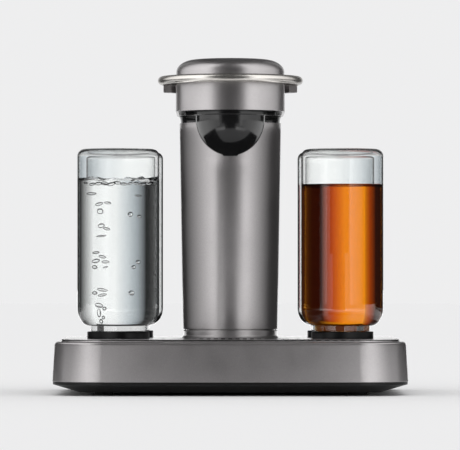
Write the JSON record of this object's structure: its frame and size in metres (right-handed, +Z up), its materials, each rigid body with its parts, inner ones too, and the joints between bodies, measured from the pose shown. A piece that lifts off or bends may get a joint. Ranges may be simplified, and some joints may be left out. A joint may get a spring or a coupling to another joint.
{
  "type": "cocktail machine",
  "caption": "Countertop cocktail machine with a tapered column, overhanging capsule head with a ring-handled lid, inverted glass spirit bottles in docks, peristaltic pumps and a lift-out water tank.",
  "frame": {"origin": "on the floor below the middle of the base footprint", "axes": "+Z up, -Y the front with the nozzle and the lid handle, +X to the right as seen from the front"},
  "size_m": [0.342, 0.3, 0.324],
  "materials": {
    "grey_paint": "warm grey metallic paint, satin",
    "black_plastic": "gloss black",
    "satin_black": "satin black",
    "rubber": "matt",
    "silicone": "milky",
    "board": "solder mask",
    "motor": "zinc plated",
    "steel": "brushed stainless",
    "bottle_glass": "clear",
    "clear_spirit": "clear liquid",
    "amber_spirit": "amber liquid",
    "smoky_plastic": "smoky clear",
    "rotor": "satin white"
  },
  "bodies": {
    "base": {"bottom_pan": "black_plastic", "base_shell": "grey_paint", "deck_plate": "grey_paint", "rubber_feet": "rubber", "dock_front_left": "satin_black", "dock_front_right": "satin_black", "dock_rear_left": "satin_black", "dock_rear_right": "satin_black", "dock_seals": "rubber", "touch_panel": "black_plastic", "control_board": "board", "power_board": "board", "cord_gland": "rubber", "tank_dock": "satin_black", "pump_motors": "motor", "pump_housings": "satin_black", "supply_tubes": "silicone", "riser_tubes": "silicone", "column_foot": "grey_paint", "column_shell": "grey_paint", "neck_ring": "black_plastic", "head_shell": "grey_paint", "head_floor": "satin_black", "rear_cover": "grey_paint", "mixing_dome": "black_plastic", "nozzle": "black_plastic", "capsule_holder": "satin_black", "mix_manifold": "satin_black", "hinge_bracket": "satin_black", "hinge_pin": "steel"},
    "lid": {"lid_shell": "grey_paint", "lid_liner": "satin_black", "lid_gasket": "rubber", "piercer": "steel", "handle_ring": "steel", "handle_yoke": "grey_paint"},
    "front_left_bottle": {"bottle_front_left": "bottle_glass", "cap_front_left": "satin_black", "spirit_front_left": "clear_spirit"},
    "front_right_bottle": {"bottle_front_right": "bottle_glass", "cap_front_right": "satin_black", "spirit_front_right": "amber_spirit"},
    "rear_left_bottle": {"bottle_rear_left": "bottle_glass", "cap_rear_left": "satin_black"},
    "rear_right_bottle": {"bottle_rear_right": "bottle_glass", "cap_rear_right": "satin_black"},
    "tank": {"water_tank": "smoky_plastic", "tank_valve": "satin_black"},
    "tank_cover": {"tank_lid": "satin_black"},
    "tray": {"drip_tray": "satin_black"},
    "grate": {"drip_grate": "satin_black"},
    "front_left_rotor": {"rotor_front_left": "rotor"},
    "front_right_rotor": {"rotor_front_right": "rotor"},
    "rear_left_rotor": {"rotor_rear_left": "rotor"},
    "rear_right_rotor": {"rotor_rear_right": "rotor"},
    "water_rotor": {"rotor_water": "rotor"}
  },
  "joints": [
    {"name": "lid_hinge", "type": "hinge", "parent": "base", "child": "lid", "pos_m": [0, 0, 0.297], "axis": [-1, 0, 0], "range_deg": [0, 75]},
    {"name": "front_left_bottle_lift", "type": "slide", "parent": "base", "child": "front_left_bottle", "axis": [0, 0, 1], "range_m": [0, 0.08]},
    {"name": "front_right_bottle_lift", "type": "slide", "parent": "base", "child": "front_right_bottle", "axis": [0, 0, 1], "range_m": [0, 0.08]},
    {"name": "rear_left_bottle_lift", "type": "slide", "parent": "base", "child": "rear_left_bottle", "axis": [0, 0, 1], "range_m": [0, 0.08]},
    {"name": "rear_right_bottle_lift", "type": "slide", "parent": "base", "child": "rear_right_bottle", "axis": [0, 0, 1], "range_m": [0, 0.08]},
    {"name": "tank_lift", "type": "slide", "parent": "base", "child": "tank", "axis": [0, 0, 1], "range_m": [0, 0.06]},
    {"name": "tank_lid_lift", "type": "slide", "parent": "tank", "child": "tank_cover", "axis": [0, 0, 1], "range_m": [0, 0.03]},
    {"name": "tray_lift", "type": "slide", "parent": "base", "child": "tray", "axis": [0, 0, 1], "range_m": [0, 0.03]},
    {"name": "grate_lift", "type": "slide", "parent": "tray", "child": "grate", "axis": [0, 0, 1], "range_m": [0, 0.02]},
    {"name": "front_left_pump", "type": "hinge", "parent": "base", "child": "front_left_rotor", "pos_m": [-0.052, 0.008, 0.033], "axis": [0, 0, 1], "continuous": true},
    {"name": "front_right_pump", "type": "hinge", "parent": "base", "child": "front_right_rotor", "pos_m": [0.052, 0.008, 0.033], "axis": [0, 0, 1], "continuous": true},
    {"name": "rear_left_pump", "type": "hinge", "parent": "base", "child": "rear_left_rotor", "pos_m": [-0.052, 0.054, 0.033], "axis": [0, 0, 1], "continuous": true},
    {"name": "rear_right_pump", "type": "hinge", "parent": "base", "child": "rear_right_rotor", "pos_m": [0.052, 0.054, 0.033], "axis": [0, 0, 1], "continuous": true},
    {"name": "water_pump", "type": "hinge", "parent": "base", "child": "water_rotor", "pos_m": [0, 0.07, 0.033], "axis": [0, 0, 1], "continuous": true}
  ]
}
